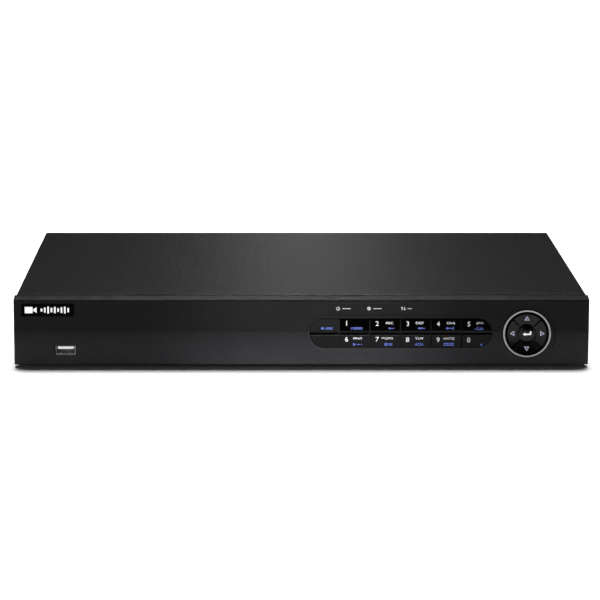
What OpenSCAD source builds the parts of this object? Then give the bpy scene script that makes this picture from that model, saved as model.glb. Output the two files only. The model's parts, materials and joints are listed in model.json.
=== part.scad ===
// Digital video recorder: low, wide desktop case with a keypad and arrow pad.
// Millimetres. +Z up, the front faces -Y, and z = 0 is the desk under the feet.

/* [Case] */
// Width across the front bezel
bezel_w = 380; // [378:0.5:384]
// Depth from the front edge to the rear panel
case_d = 290; // [290:1:300]
// Height from the desk to the top of the cover
total_h = 48; // [48:0.5:50]
// Width across the sheet-metal cover
cover_w = 378; // [377:0.5:378]
// Sheet thickness of the cover, tray and rear panel
sheet_t = 1; // [0.8:0.1:1]
// Height of the rubber feet
foot_h = 3; // [3:0.1:3.2]

/* [Front bezel] */
// Gap between the desk and the bezel
bezel_clear = 1.8; // [1.5:0.1:2.2]
// Depth of the sloping strip on top
strip_d = 10; // [8:0.5:10]
// Rise of the strip from the face to the cover
strip_rise = 1.7; // [1:0.1:2]
// How far the cover stands above the strip
seam_step = 0.7; // [0.4:0.1:1]
// Height of the crease across the face
crease_z = 23.9; // [23:0.1:25]
// How far the face leans back from its top edge to the crease
upper_lean = 0.6; // [0.2:0.1:1]
// How far it leans back from the crease to its lower edge
lower_lean = 2.2; // [1:0.1:2.4]

/* [Keypad] */
// Left end of the keypad opening
pad_x0 = 5.3; // [4:0.1:6]
// Middle of the gap right of the first column
first_gap_x = 25; // [24:0.1:26]
// Distance between key columns
key_pitch = 20.22; // [19:0.01:20.5]
// Height of the middle of the opening
pad_z = 23; // [22.5:0.1:24]
// Half the height of the opening, and the radius of its ends
pad_r = 9.9; // [9:0.05:10]
// Travel of every key
key_travel = 0.5; // [0.3:0.1:0.5]

/* [Arrow pad] */
// Centre of the arrow pad, sideways
arrow_x = 149.1; // [148:0.1:151]
// Centre of the arrow pad, height
arrow_z = 22.75; // [22.5:0.05:24]
// Outer radius of the bright ring
ring_r = 15.95; // [15:0.05:16.5]
// Radius of the centre key
enter_r = 5.5; // [5:0.1:5.8]

/* [Rear] */
// How far the video sockets reach behind the rear panel
socket_reach = 12; // [11:0.5:14]
// Distance between video sockets
bnc_pitch = 15; // [14.5:0.1:15.5]

/* [Hidden] */
$fn = 48;

front_y = -(case_d + socket_reach) / 2;
rear_y = front_y + case_d;
panel_y = rear_y - sheet_t;
tray_z = foot_h + sheet_t;
roof_z = total_h - sheet_t;
inner_w = cover_w - 2 * sheet_t;

// Bezel levels, from front to back
seam_y = front_y + strip_d;
crease_y = front_y + upper_lean;
chin_y = crease_y + lower_lean;
dish_y = front_y + 2.3;
web_y = front_y + 4.6;
bezel_back_y = front_y + 13;
strip_top_z = total_h - seam_step;
face_top_z = strip_top_z - strip_rise;
wall = 2.2;
hook_x = [-120, -40, 180];
hook_z = [7, 40];

// Keypad levels
key_front_y = front_y + 2;
flange_y = web_y + 0.3;
flange_t = 0.8;
stem_end_y = front_y + 6.8;
key_gap = 0.9;
row_gap = 1.3;
rim = 0.35;
row_split_z = 22.6;
pad_x1 = first_gap_x + 5 * key_pitch;
stem_r = 1.5;
plunger_y = stem_end_y + key_travel + 0.1;
board_y = plunger_y + 3.8;
board_t = 1.6;

// Arrow pad levels and radii
dish_r = 19.3;
ring_inner_r = 14.6;
sleeve_r = 15.3;
ring_groove = 0.45;
ring_front_y = front_y + 0.8;
sleeve_end_y = front_y + 5.4;
sector_y = front_y + 1.6;
sector_r = 12.9;
sector_skirt_r = 14.1;
sector_dish_r = 60;
sector_dish_depth = 1.4;
sector_inner_r = 6.3;
sector_gap = 0.85;
arrow_stem_r = 9.8;

// Front sockets and windows
usb_x = -156;
usb_z = 11.5;
usb_w = 13.2;
usb_h = 5.8;
usb_wall = 0.35;
usb_lip = 0.36;
usb_front_y = front_y + 2.6;
usb_board_z = 7;
window_x = [17.5, 80.6];
window_z = [35.9, 43.2];
plate_x = [-185.1, -150];
plate_z = [34.6, 43.3];
led_x = [34.7, 55.2, 74.6];
led_z = 39.7;

// Fasteners
screw_head_r = 2.9;
screw_head_h = 1.8;
screw_r = 1.45;
clearance_r = 1.7;
tapped_r = 1.5;
side_screw_y = front_y + 21;
side_screw_z = [16, 36];
rear_screw_x = [-62, 8, 112];
rear_screw_z = 42.5;
ear_hole_r = 1.65;
ear_hole_y = front_y + 51;

// Boards, drive and supply
pcb_z = 10.2;
main_x = [-182, 46];
main_y = [26, 134];
supply_x = [106, 184];
supply_y = [22, 112];
main_posts = [[-176, 32], [-64, 32], [40, 32], [-178, 112], [-64, 112], [40, 112]];
supply_posts = [[110, 28], [180, 28], [110, 106], [180, 106]];
front_posts = [[-1, 8], [-1, 41], [170, 8], [170, 41]];
post_r = 3;
drive_x = [-150, -48.4];
drive_y = [-132, 15];
drive_z = [8, 34.1];
foot_x = 160;
foot_y = [front_y + 30, rear_y - 30];

// Rear sockets
bnc_x0 = -170;
bnc_z = [19.3, 34.3];
bnc_r = 4.8;
rca_x = [-104, -90];
rca_r = 4.15;
vga_x = -62;
vga_z = 20;
hdmi_x = -34;
hdmi_z = 14.5;
lan_x = -12;
rear_usb_x = 10;
terminal_x = [24, 44];
fan_x = 84;
fan_z = 25;
fan_w = 40;
fan_t = 10;
inlet_x = 161;
inlet_z = 24;
switch_x = 128;
switch_z = 24;
rocker_r = 8.1;
rocker_y = rear_y - 2.5;
rocker_tilt = 12;
earth_x = 176;
earth_z = 8.6;

// ---- helpers ----

// Height-dependent front surface of the bezel
function face_y(z) = z > crease_z
    ? front_y + upper_lean * (face_top_z - z) / (face_top_z - crease_z)
    : crease_y + lower_lean * (crease_z - z) / (crease_z - bezel_clear);

// Edge of key column i, from 0 to 6
function column_x(i) = i == 0 ? pad_x0 : first_gap_x + (i - 1) * key_pitch;

// Direction from point a to point b
function heading(a, b) = (b - a) / norm(b - a);

// Sideways step at point i of a path
function side_step(path, i) =
    let(before = heading(path[max(i - 1, 0)], path[max(i, 1)]),
        after = heading(path[min(i, len(path) - 2)], path[min(i + 1, len(path) - 1)]),
        mean = (before + after) / norm(before + after))
    [-mean[1], mean[0]];

// Outline of a flat cable of thickness t along a path
function ribbon(path, t) = concat(
    [for (i = [0:len(path) - 1]) path[i] + side_step(path, i) * t / 2],
    [for (i = [len(path) - 1:-1:0]) path[i] - side_step(path, i) * t / 2]);

// Cuboid between two opposite corners
module block(low, high) {
    translate(low) cube(high - low);
}

// Outline in x and z, extruded from y0 to y1
module along_y(y0, y1) {
    translate([0, y1, 0]) rotate([90, 0, 0]) linear_extrude(y1 - y0) children();
}

// Outline in y and z, extruded from x0 to x1
module along_x(x0, x1) {
    translate([x0, 0, 0]) rotate([90, 0, 90]) linear_extrude(x1 - x0) children();
}

// Round bar along y at x and z
module rod_y(r, y0, y1, x, z) {
    along_y(y0, y1) translate([x, z]) circle(r);
}

// Round bar along z at x and y
module rod_z(r, z0, z1, x, y) {
    translate([x, y, z0]) cylinder(r = r, h = z1 - z0);
}

// Round bar along x at y and z
module rod_x(r, x0, x1, y, z) {
    along_x(x0, x1) translate([y, z]) circle(r);
}

// Long hole with round ends
module stadium(x0, x1, z, r) {
    translate([x0 + r, z]) circle(r);
    translate([x1 - r, z]) circle(r);
    translate([x0 + r, z - r]) square([x1 - x0 - 2 * r, 2 * r]);
}

// Rectangle with rounded corners
module soft_rect(x0, x1, z0, z1, r) {
    translate([x0 + r, z0]) square([x1 - x0 - 2 * r, z1 - z0]);
    translate([x0, z0 + r]) square([x1 - x0, z1 - z0 - 2 * r]);
    for (x = [x0 + r, x1 - r], z = [z0 + r, z1 - r]) translate([x, z]) circle(r);
}

// Pan-head screw pointing along +Y, its head seated at y = 0
module pan_screw(length) {
    rotate([-90, 0, 0]) {
        translate([0, 0, -screw_head_h]) difference() {
            cylinder(r1 = screw_head_r - 0.6, r2 = screw_head_r, h = screw_head_h);
            for (a = [0, 90]) rotate(a) translate([-1.6, -0.3, -1]) cube([3.2, 0.6, 1.9]);
        }
        cylinder(r = screw_r, h = length);
    }
}

// Circuit board with mounting holes
module pcb(x, y, posts) {
    difference() {
        block([x[0], y[0], pcb_z], [x[1], y[1], pcb_z + board_t]);
        for (p = posts) rod_z(screw_r + 0.15, pcb_z - 1, pcb_z + board_t + 1, p[0], p[1]);
    }
}

// ---- case ----

module tray_side() {
    block([inner_w / 2 - 1.8, front_y + 15, foot_h], [inner_w / 2 - 0.8, panel_y - 0.2, 12]);
    block([inner_w / 2 - 1.8, front_y + 15, foot_h], [inner_w / 2 - 0.8, front_y + 38, 44]);
    block([inner_w / 2 - 1.8, rear_y - 20, foot_h], [inner_w / 2 - 0.8, panel_y - 0.2, 44]);
}

module base_tray() {
    wall_y = front_y + 15;
    color("silver") difference() {
        union() {
            block([-inner_w / 2 + 0.8, bezel_back_y + 0.2, foot_h],
                  [inner_w / 2 - 0.8, panel_y - 0.2, tray_z]);
            block([-inner_w / 2 + 0.8, wall_y, foot_h], [inner_w / 2 - 0.8, wall_y + sheet_t, 44]);
            tray_side();
            mirror([1, 0, 0]) tray_side();
        }
        block([usb_x - 17, wall_y - 1, 5], [usb_x + 17, wall_y + 2, 20]);
        block([10, wall_y - 1, 9], [38, wall_y + 2, 20]);
        for (x = hook_x, z = hook_z)
            block([x - 5, wall_y - 1, z - 1.6], [x + 5, wall_y + 2, z + 1.6]);
        for (side = [-1, 1], z = side_screw_z)
            rod_x(tapped_r, side * inner_w / 2 - 3, side * inner_w / 2 + 3, side_screw_y, z);
        for (side = [-1, 1])
            rod_x(tapped_r, side * inner_w / 2 - 3, side * inner_w / 2 + 3, rear_y - 8, 36);
        for (x = [60:12:168], y = [-110, -70])
            block([x, y, foot_h - 1], [x + 3, y + 28, tray_z + 1]);
    }
}

module cover_outline(half_w, top, r, bottom) {
    translate([-half_w, bottom]) square([2 * half_w, top - r - bottom]);
    translate([-half_w + r, bottom]) square([2 * (half_w - r), top - bottom]);
    for (side = [-1, 1]) translate([side * (half_w - r), top - r]) circle(r);
}

module top_cover() {
    color([0.2, 0.2, 0.2]) difference() {
        union() {
            along_y(seam_y, rear_y) difference() {
                cover_outline(cover_w / 2, total_h, 1.6, foot_h);
                cover_outline(inner_w / 2, roof_z, 0.6, foot_h - 1);
            }
            for (side = [-1, 1], z = side_screw_z)
                rod_x(3.6, side * (inner_w / 2 - 0.75) - 0.75, side * (inner_w / 2 - 0.75) + 0.75,
                      ear_hole_y, z);
            for (x = rear_screw_x)
                block([x - 7, panel_y - 1.2, 38], [x + 7, panel_y - 0.2, roof_z + 0.2]);
        }
        for (side = [-1, 1], z = side_screw_z) {
            rod_x(clearance_r, side * cover_w / 2 - 1.5, side * cover_w / 2 + 1.5,
                  side_screw_y, z);
            rod_x(ear_hole_r, side * cover_w / 2 - 4, side * cover_w / 2 + 4, ear_hole_y, z);
        }
        for (side = [-1, 1])
            rod_x(clearance_r, side * cover_w / 2 - 1.5, side * cover_w / 2 + 1.5,
                  rear_y - 8, 36);
        for (side = [-1, 1], i = [0:19])
            block([side * cover_w / 2 - 2, -76 + 8 * i, 16],
                  [side * cover_w / 2 + 2, -73 + 8 * i, 38]);
        for (x = rear_screw_x) rod_y(tapped_r, panel_y - 2, panel_y, x, rear_screw_z);
    }
}

// Cut-outs of the rear panel as outlines in x and z
module panel_cutouts() {
    for (i = [0:3], z = bnc_z) translate([bnc_x0 + bnc_pitch * i, z]) circle(bnc_r + 0.4);
    for (x = rca_x, z = bnc_z) translate([x, z]) circle(rca_r + 0.5);
    soft_rect(vga_x - 9.3, vga_x + 9.3, vga_z - 5.2, vga_z + 5.2, 1.5);
    for (side = [-1, 1]) translate([vga_x + 12.5 * side, vga_z]) circle(1.7);
    soft_rect(hdmi_x - 7.9, hdmi_x + 7.9, 11.4, 17.7, 0.8);
    soft_rect(lan_x - 8.3, lan_x + 8.3, 11.5, 25.5, 0.4);
    soft_rect(rear_usb_x - 7, rear_usb_x + 7, 11.4, 18, 0.4);
    soft_rect(terminal_x[0] - 0.3, terminal_x[1] + 0.3, 11.5, 22.3, 0.4);
    soft_rect(inlet_x - 13.8, inlet_x + 13.8, inlet_z - 10, inlet_z + 10, 2);
    soft_rect(switch_x - 6.8, switch_x + 6.8, switch_z - 9.8, switch_z + 9.8, 0.5);
    translate([earth_x, earth_z]) circle(2.1);
    for (x = rear_screw_x) translate([x, rear_screw_z]) circle(clearance_r);
    translate([fan_x, fan_z]) {
        for (x = [-16, 16], z = [-16, 16]) translate([x, z]) circle(clearance_r);
        difference() {
            for (r = [7.5, 12, 16.5]) difference() {
                circle(r);
                circle(r - 2.6);
            }
            for (a = [0, 90]) rotate(a) square([40, 3], center = true);
        }
    }
}

module rear_panel() {
    edge = inner_w / 2 - 0.4;
    lip_y = panel_y - 8;
    color([0.2, 0.2, 0.2]) {
        along_y(panel_y, rear_y) difference() {
            translate([-edge, foot_h + 0.2]) square([2 * edge, roof_z - foot_h - 0.5]);
            panel_cutouts();
        }
        for (side = [-1, 1]) difference() {
            translate([side * (edge - 2.5), lip_y, tray_z + 0.2])
                mirror([side > 0 ? 0 : 1, 0, 0]) cube([1, 8, 38]);
            rod_x(tapped_r, side * edge - 4, side * edge + 4, rear_y - 8, 36);
        }
    }
}

module rubber_feet() {
    color([0.1, 0.1, 0.1])
    for (side = [-1, 1], y = foot_y) translate([side * foot_x, y, 0]) difference() {
        rotate_extrude() polygon([[0, 0], [7, 0], [8, 0.8], [8.6, foot_h], [0, foot_h]]);
        translate([0, 0, -1]) cylinder(r = 3, h = 2.2);
    }
}

module side_screw(side, y, z) {
    translate([side * cover_w / 2, y, z]) rotate([0, 0, side * 90]) pan_screw(3.2);
}

module case_screws() {
    color([0.15, 0.15, 0.15]) {
        for (side = [-1, 1]) {
            for (z = side_screw_z) side_screw(side, side_screw_y, z);
            side_screw(side, rear_y - 8, 36);
        }
        for (x = rear_screw_x) translate([x, rear_y, rear_screw_z]) rotate([0, 0, 180])
            pan_screw(3.5);
        for (x = [-16, 16], z = [-16, 16]) translate([fan_x + x, rear_y, fan_z + z])
            rotate([0, 0, 180]) pan_screw(8);
    }
}

// ---- front bezel ----

// Outer profile in y and z of the part in front of the cover
module bezel_profile() {
    chin = 0.4;
    polygon([[seam_y, bezel_clear], [chin_y + chin, bezel_clear],
             [face_y(bezel_clear + chin), bezel_clear + chin],
             [crease_y, crease_z], [front_y, face_top_z], [seam_y, strip_top_z]]);
}

// Space inside that part
module bezel_hollow() {
    polygon([[seam_y + 1, bezel_clear + wall], [chin_y + wall, bezel_clear + wall],
             [crease_y + wall, crease_z], [front_y + wall, face_top_z - wall],
             [seam_y + 1, face_top_z - wall + 0.6]]);
}

// Recessed land around the keypad and the arrow pad
module dish_outline() {
    band_r = 12.5;
    band_x0 = 2.6;
    notch_r = 4;
    stadium(band_x0, arrow_x, arrow_z, band_r);
    translate([arrow_x, arrow_z]) circle(dish_r);
    // Concave corners where the band runs into the circle
    reach = sqrt(pow(dish_r + notch_r, 2) - pow(band_r + notch_r, 2));
    for (up = [-1, 1]) translate([arrow_x - reach, arrow_z + up * (band_r + notch_r)])
        difference() {
            tip = reach * dish_r / (dish_r + notch_r);
            translate([0, up > 0 ? -notch_r - 1 : 0]) square([reach - tip, notch_r + 1]);
            circle(notch_r);
        }
}

module pad_opening(grow) {
    stadium(pad_x0 - grow, pad_x1 + grow, pad_z, pad_r + grow);
}

// Hooks that clip through slots of the tray
module bezel_hooks() {
    for (x = hook_x, z = hook_z) {
        block([x - 4, bezel_back_y - 3, z - 0.8], [x + 4, bezel_back_y + 5, z + 0.8]);
        block([x - 4, bezel_back_y - 3, z < crease_z ? bezel_clear + 1 : z - 0.8],
              [x + 4, bezel_back_y - 1, z < crease_z ? z + 0.8 : roof_z - 1]);
    }
}

module bezel_shell() {
    half = bezel_w / 2;
    lip = inner_w / 2 - 0.4;
    difference() {
        union() {
            along_x(-half, half) bezel_profile();
            block([-lip, seam_y - 0.5, bezel_clear], [lip, bezel_back_y, roof_z - 0.5]);
        }
        along_x(-half + wall, half - wall) bezel_hollow();
        block([-lip + 2, seam_y - 0.3, bezel_clear + wall],
              [lip - 2, bezel_back_y + 1, face_top_z - wall + 0.4]);
    }
    // Web that carries the keys, and the pillars of the key board
    difference() {
        block([-4, dish_y - 1, bezel_clear + 1], [half - 6, web_y, face_top_z - 1]);
        along_x(-10, half) translate([-0.1, 0]) difference() {
            translate([front_y - 5, 0]) square([12, total_h]);
            bezel_profile();
        }
    }
    for (p = front_posts) rod_y(2.6, web_y - 0.5, board_y, p[0], p[1]);
    // Ribs under the socket board
    for (x = [usb_x - 14, usb_x + 14])
        block([x - 1, front_y + 8, bezel_clear + 1], [x + 1, bezel_back_y - 1, usb_board_z]);
    bezel_hooks();
}

module front_bezel() {
    color([0.15, 0.15, 0.16]) difference() {
        bezel_shell();
        along_y(front_y - 1, dish_y) dish_outline();
        along_y(front_y - 1, web_y + 1) pad_opening(0);
        rod_y(ring_r + ring_groove, front_y - 1, dish_y + 0.9, arrow_x, arrow_z);
        rod_y(sleeve_r + 0.1, front_y - 1, web_y + 1, arrow_x, arrow_z);
        block([window_x[0], front_y - 1, window_z[0]],
              [window_x[1], front_y + 1.8, window_z[1]]);
        for (x = led_x) rod_y(1.6, front_y, web_y + 1, x, led_z);
        block([plate_x[0], front_y - 1, plate_z[0]], [plate_x[1], front_y + 1.2, plate_z[1]]);
        along_y(front_y - 1, front_y + 6)
            soft_rect(usb_x - 7.45, usb_x + 7.45, usb_z - 3.35, usb_z + 3.35, 0.8);
        for (p = front_posts) rod_y(1, board_y - 5, board_y + 1, p[0], p[1]);
    }
}

// Flush insert cut from the bezel's own outer shape
module face_insert(x, z, back_y, gap) {
    intersection() {
        along_x(x[0] + gap, x[1] - gap) translate([0.05, 0]) bezel_profile();
        block([x[0] - 1, front_y - 1, z[0] + gap], [x[1] + 1, back_y - 0.05, z[1] - gap]);
    }
}

module name_plate() {
    color("black") face_insert(plate_x, plate_z, front_y + 1.2, 0.1);
}

module led_window() {
    color([0.22, 0.22, 0.23]) face_insert(window_x, window_z, front_y + 1.8, 0.1);
}

module dpad_ring() {
    color("silver") translate([arrow_x, 0, arrow_z]) difference() {
        union() {
            rod_y(ring_r, ring_front_y, dish_y + 0.85, 0, 0);
            rod_y(sleeve_r, dish_y, sleeve_end_y, 0, 0);
        }
        rod_y(ring_inner_r, ring_front_y - 1, sleeve_end_y + 1, 0, 0);
    }
}

// ---- keys ----

// Outline of one keypad cell, in x and z
module key_cell(column, row, grow) {
    left = column == 0 ? column_x(0) - 2 : column_x(column) + key_gap / 2;
    right = column == 5 ? column_x(6) + 2 : column_x(column + 1) - key_gap / 2;
    split = row_split_z + (row == 0 ? row_gap / 2 : -row_gap / 2);
    intersection() {
        pad_opening(grow);
        translate([left, row == 0 ? split : split - 12]) square([right - left, 12]);
    }
}

// Front shape in y and z: the upper row has a lower chamfer, the lower row leans back
module key_profile(row) {
    low = row == 0 ? row_split_z + row_gap / 2 : pad_z - pad_r;
    high = row == 0 ? pad_z + pad_r : row_split_z - row_gap / 2;
    front = key_front_y + (row == 0 ? 0 : 0.1);
    foot = row == 0 ? [[front + 0.45, low - 0.5], [front, low + 1.45]]
                    : [[front + 0.7, low - 0.5]];
    polygon(concat([[flange_y + 0.1, low - 0.5]], foot,
                   [[front, high - 0.5], [front + 0.5, high + 0.5],
                    [flange_y + 0.1, high + 0.5]]));
}

module key_cap(column, row) {
    intersection() {
        along_y(front_y, flange_y) key_cell(column, row, -rim);
        along_x(pad_x0 - 1, pad_x1 + 1) key_profile(row);
    }
}

function stem_x(column) = (column_x(column) + column_x(column + 1)) / 2
    + (column == 0 ? 1 : column == 5 ? -1 : 0);
function stem_z(row) = row == 0 ? 28 : 17.6;

module key(column, row) {
    key_cap(column, row);
    along_y(flange_y, flange_y + flange_t) key_cell(column, row, 0.8);
    rod_y(stem_r, flange_y + 0.1, stem_end_y, stem_x(column), stem_z(row));
}

module number_key(column, row) {
    color(row == 0 ? [0.03, 0.03, 0.03] : [0.15, 0.15, 0.15]) key(column, row);
}

module key_shift() { color([0.15, 0.15, 0.15]) key(0, 0); }
module key_1() { number_key(1, 0); }
module key_2() { number_key(2, 0); }
module key_3() { number_key(3, 0); }
module key_4() { number_key(4, 0); }
module key_5() { number_key(5, 0); }
module key_6() { number_key(1, 1); }
module key_7() { number_key(2, 1); }
module key_8() { number_key(3, 1); }
module key_9() { number_key(4, 1); }
module key_0() { number_key(5, 1); }

module ir_window() {
    color([0.14, 0.14, 0.14]) {
        key_cap(0, 1);
        along_y(web_y + 0.05, flange_y + flange_t) key_cell(0, 1, 0.8);
    }
}

// Quarter of a disc between two radii, pointing up
module quarter(r_in, r_out) {
    slit = sector_gap / 2;
    difference() {
        circle(r_out);
        circle(r_in);
        rotate(-45) translate([-slit, -30]) square([60, 60]);
        rotate(45) translate([-60 + slit, -30]) square([60, 60]);
    }
}

// Arrow key, turned to its side of the pad
module arrow_key(turn) {
    color([0.1, 0.1, 0.1]) translate([arrow_x, 0, arrow_z]) rotate([0, turn, 0]) {
        difference() {
            intersection() {
                along_y(sector_y, web_y + 0.5) quarter(sector_inner_r, sector_skirt_r);
                translate([0, web_y + 0.5, 0]) rotate([90, 0, 0])
                    cylinder(r1 = sector_skirt_r + 0.4, r2 = sector_r, h = web_y + 0.5 - sector_y);
            }
            // Shallow hollow shared by the four faces
            translate([0, sector_y + sector_dish_depth - sector_dish_r, 0])
                sphere(r = sector_dish_r, $fn = 96);
        }
        along_y(web_y + 0.4, sleeve_end_y + 1) quarter(8.2, sector_skirt_r);
        along_y(sleeve_end_y + 0.3, sleeve_end_y + 1) quarter(8.2, 15.2);
        rod_y(stem_r, sleeve_end_y + 0.9, stem_end_y, 0, arrow_stem_r);
    }
}

module key_up() { arrow_key(0); }
module key_right() { arrow_key(90); }
module key_down() { arrow_key(180); }
module key_left() { arrow_key(-90); }

module key_enter() {
    dome_r = 22;
    color([0.08, 0.08, 0.08]) translate([arrow_x, 0, arrow_z]) {
        intersection() {
            rod_y(enter_r, front_y, sleeve_end_y + 0.6, 0, 0);
            translate([0, sector_y - 0.6 + dome_r, 0]) sphere(r = dome_r, $fn = 96);
        }
        rod_y(7.6, sleeve_end_y + 0.5, sleeve_end_y + 1.1, 0, 0);
        rod_y(stem_r, sleeve_end_y + 1, stem_end_y, 0, 0);
    }
}

// ---- front electronics ----

// Places in x and z of every key switch
function switch_places() = concat(
    [for (row = [0, 1], column = [0:5]) if (!(row == 1 && column == 0))
        [stem_x(column), stem_z(row)]],
    [[arrow_x, arrow_z]],
    [for (a = [0:90:270]) [arrow_x + arrow_stem_r * cos(a), arrow_z + arrow_stem_r * sin(a)]]);

module front_boards() {
    color("darkgreen") {
        difference() {
            block([-6, board_y, 5], [174, board_y + board_t, 43.2]);
            for (p = front_posts) rod_y(screw_r, board_y - 1, board_y + 3, p[0], p[1]);
        }
        block([usb_x - 16, front_y + 7, usb_board_z], [usb_x + 16, front_y + 18, usb_z - usb_h / 2]);
    }
}

module tact_switches() {
    color([0.2, 0.2, 0.2])
    for (p = switch_places()) {
        block([p[0] - 3, board_y - 3.1, p[1] - 3], [p[0] + 3, board_y, p[1] + 3]);
        rod_y(1.6, plunger_y, board_y - 3, p[0], p[1]);
    }
}

module status_leds() {
    color("white")
    for (x = led_x) {
        rod_y(1.45, front_y + 2.6, board_y, x, led_z);
        rod_y(1.9, board_y - 1.5, board_y, x, led_z);
    }
}

module ir_receiver() {
    x = stem_x(0) - 2;
    color([0.1, 0.1, 0.12]) {
        block([x - 3, board_y - 3, stem_z(1) - 3], [x + 3, board_y, stem_z(1) + 3]);
        translate([x, board_y - 3, stem_z(1)]) sphere(r = 2.2);
    }
}

// USB shell: open box with a flared lower lip, mouth at y = 0 facing -Y
module usb_shell() {
    floor_z = -usb_h / 2;
    difference() {
        block([-usb_w / 2, usb_lip, floor_z], [usb_w / 2, 14, usb_h / 2]);
        block([-usb_w / 2 + usb_wall, 0, floor_z + usb_wall],
              [usb_w / 2 - usb_wall, 13, usb_h / 2 - usb_wall]);
        for (x = [-3, 3]) block([x - 1, 2, -usb_h], [x + 1, 9, usb_h]);
    }
    along_x(-usb_w / 2 + 0.3, usb_w / 2 - 0.3)
        polygon([[0, floor_z - 0.3], [usb_lip, floor_z + 0.7], [1.3, floor_z + 0.3],
                 [usb_lip, floor_z - 0.3]]);
    for (x = [-3, 3]) along_x(x - 1.1, x + 1.1)
        polygon([[usb_lip, floor_z + 0.1], [0.8, floor_z + 1.1], [1.6, floor_z + 0.2]]);
    // Bent spring leaves in the slots of the floor
    for (x = [-3, 3]) along_x(x - 0.8, x + 0.8)
        polygon([[9.2, floor_z], [4.4, floor_z + 0.7], [2.4, floor_z + 0.1],
                 [2.4, floor_z + 0.35], [4.4, floor_z + 1], [9.2, floor_z + 0.3]]);
}

module usb_tongue() {
    low = 0.85;
    high = usb_h / 2 - usb_wall - 0.2;
    middle = (low + high) / 2;
    // Blade with tapered ends, and the block that holds it
    along_y(1, 12.9)
        polygon([[-5.6, middle], [-4.9, low], [4.9, low], [5.6, middle], [4.9, high], [-4.9, high]]);
    block([-usb_w / 2 + usb_wall + 0.1, 11, low - 0.4],
          [usb_w / 2 - usb_wall - 0.1, 12.9, high]);
}

module place_usb() {
    translate([usb_x, usb_front_y, usb_z]) children();
    translate([rear_usb_x, rear_y + 1, pcb_z + board_t + usb_h / 2]) rotate([0, 0, 180]) children();
}

module usb_shells() {
    color("silver") place_usb() usb_shell();
}

module usb_tongues() {
    color("white") place_usb() usb_tongue();
}

module ribbon_cable() {
    route = [[board_y + 4, 14], [-128, 14], [-124, 12], [-119, 6], [-114, 4.9], [4, 4.9],
             [12, 6], [18, 14], [24, 19], [30, 19], [33, 17]];
    color("lightgray") {
        along_x(14, 34) polygon(ribbon(route, 0.9));
        block([12, board_y + board_t, 11.5], [36, board_y + 4.2, 16.5]);
        block([12, 30.5, pcb_z + board_t], [36, 35.5, 17.6]);
    }
}

// ---- main board ----

module main_board() {
    color("darkgreen") pcb(main_x, main_y, main_posts);
}

module standoffs() {
    color("goldenrod")
    for (p = concat(main_posts, supply_posts)) difference() {
        translate([p[0], p[1], tray_z]) cylinder(r = post_r, h = pcb_z - tray_z, $fn = 6);
        rod_z(screw_r, tray_z + 1, pcb_z + 1, p[0], p[1]);
    }
}

// Board screws: the boards' screws stand upright, the key board's lie along y
module board_screw() {
    cylinder(r1 = 2.6, r2 = 2.1, h = 1.4);
    translate([0, 0, -4.2]) cylinder(r = 1.35, h = 4.3);
}

module board_screws() {
    color("silver") {
        for (p = concat(main_posts, supply_posts))
            translate([p[0], p[1], pcb_z + board_t]) board_screw();
        for (p = front_posts) translate([p[0], board_y + board_t, p[1]]) rotate([-90, 0, 0]) {
            cylinder(r1 = 2.6, r2 = 2.1, h = 1.4);
            translate([0, 0, -5]) cylinder(r = 0.95, h = 5.1);
        }
    }
}

// Finned block standing on the main board
module heat_sink(x, y, w, h) {
    low = pcb_z + board_t + 1.5;
    block([x - w / 2, y - w / 2, low], [x + w / 2, y + w / 2, low + 2.5]);
    fins = 8;
    for (i = [0:fins - 1]) {
        fin_x = x - w / 2 + i * (w - 1.2) / (fins - 1);
        block([fin_x, y - w / 2, low + 2], [fin_x + 1.2, y + w / 2, low + h]);
    }
}

module heat_sinks() {
    color([0.15, 0.15, 0.17]) {
        heat_sink(-110, 76, 38, 14);
        heat_sink(-20, 76, 26, 11);
    }
}

// Chips as x, y, width, depth and height
module board_chips() {
    chips = [[-110, 76, 26, 26, 1.5], [-20, 76, 19, 19, 1.5], [-76, 60, 9, 13, 1.1],
             [-76, 78, 9, 13, 1.1], [-76, 96, 9, 13, 1.1], [-150, 60, 14, 20, 1.6],
             [-160, 92, 12, 12, 1.6], [14, 60, 8, 8, 1.2], [-44, 48, 10, 7, 1.4],
             [-134, 106, 7, 5, 1.4], [-40, 108, 16, 12, 6]];
    color([0.1, 0.1, 0.1])
    for (c = chips) block([c[0] - c[2] / 2, c[1] - c[3] / 2, pcb_z + board_t],
                          [c[0] + c[2] / 2, c[1] + c[3] / 2, pcb_z + board_t + c[4]]);
}

// Capacitors as x, y, radius and height
module capacitors() {
    cans = [[-4, 44, 3.1, 8], [4, 44, 3.1, 8], [32, 56, 4, 9], [22, 72, 4, 9],
            [-60, 44, 3.1, 8], [-100, 46, 2.5, 6], [-130, 46, 2.5, 6], [-172, 50, 3.1, 8],
            [124, 86, 11, 24], [170, 50, 5, 16], [158, 50, 5, 16], [170, 38, 4, 12]];
    color([0.15, 0.15, 0.2])
    for (c = cans) rod_z(c[2], pcb_z + board_t, pcb_z + board_t + c[3], c[0], c[1]);
}

module coin_cell() {
    top = pcb_z + board_t;
    color("silver") {
        rod_z(10.8, top, top + 1.2, 16, 88);
        rod_z(10, top + 1.2, top + 4.2, 16, 88);
    }
}

// ---- rear sockets ----

// Body block with its floor on the board
module socket_body(x, w, y, z) {
    block([x - w / 2, y, z[0]], [x + w / 2, panel_y - 0.4, z[1]]);
}

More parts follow.
